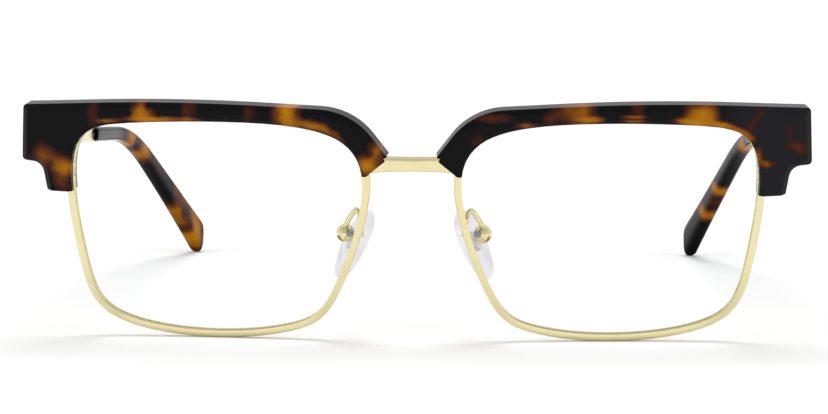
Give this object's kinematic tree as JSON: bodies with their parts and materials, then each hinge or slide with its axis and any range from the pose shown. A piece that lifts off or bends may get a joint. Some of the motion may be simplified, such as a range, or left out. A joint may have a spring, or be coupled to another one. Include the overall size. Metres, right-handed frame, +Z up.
{
  "type": "browline_glasses",
  "caption": "Browline glasses with tortoiseshell acetate brows, gold eye wires, clear lenses, rocking nose pads and folding temples.",
  "frame": {"origin": "on the floor under the middle of the glasses as they stand on the eye wires and temple tips", "axes": "+X to the viewer's right, +Y back along the temples, +Z up"},
  "size_m": [0.1458, 0.1418, 0.0446],
  "materials": {
    "tortoise_acetate": "polished mottled acetate",
    "gold_metal": "polished pale gold plating",
    "clear_lens": "clear coated lens",
    "clear_silicone": "clear soft pad",
    "steel": "turned steel"
  },
  "bodies": {
    "front": {"left_brow": "tortoise_acetate", "right_brow": "tortoise_acetate", "left_rim": "gold_metal", "right_rim": "gold_metal", "bridge": "gold_metal", "left_lens": "clear_lens", "right_lens": "clear_lens", "left_end_piece": "gold_metal", "right_end_piece": "gold_metal", "left_closing_block": "gold_metal", "right_closing_block": "gold_metal", "left_closing_screw": "steel", "right_closing_screw": "steel", "left_brow_screw": "steel", "right_brow_screw": "steel", "left_pad_arm": "gold_metal", "right_pad_arm": "gold_metal", "left_pad_box": "gold_metal", "right_pad_box": "gold_metal", "left_pad_screw": "steel", "right_pad_screw": "steel", "left_hinge_screw": "steel", "right_hinge_screw": "steel"},
    "left_temple": {"left_temple_hinge": "gold_metal", "left_temple_arm": "gold_metal", "left_temple_tip": "tortoise_acetate"},
    "left_pad": {"left_nose_pad": "clear_silicone", "left_pad_insert": "steel"},
    "right_temple": {"right_temple_hinge": "gold_metal", "right_temple_arm": "gold_metal", "right_temple_tip": "tortoise_acetate"},
    "right_pad": {"right_nose_pad": "clear_silicone", "right_pad_insert": "steel"}
  },
  "joints": [
    {"name": "left_temple_fold", "type": "hinge", "parent": "front", "child": "left_temple", "pos_m": [-0.0678, -0.05786, 0.03713], "axis": [0, -0.0592, -0.9982], "range_deg": [0, 84]},
    {"name": "right_temple_fold", "type": "hinge", "parent": "front", "child": "right_temple", "pos_m": [0.0678, -0.05786, 0.03713], "axis": [0, 0.0592, 0.9982], "range_deg": [0, 75]},
    {"name": "left_pad_rock", "type": "hinge", "parent": "front", "child": "left_pad", "pos_m": [-0.01269, -0.06037, 0.01938], "axis": [0.5293, -0.8313, 0.1695], "range_deg": [-6, 6]},
    {"name": "right_pad_rock", "type": "hinge", "parent": "front", "child": "right_pad", "pos_m": [0.01269, -0.06037, 0.01938], "axis": [0.5293, 0.8313, -0.1695], "range_deg": [-6, 6]}
  ]
}
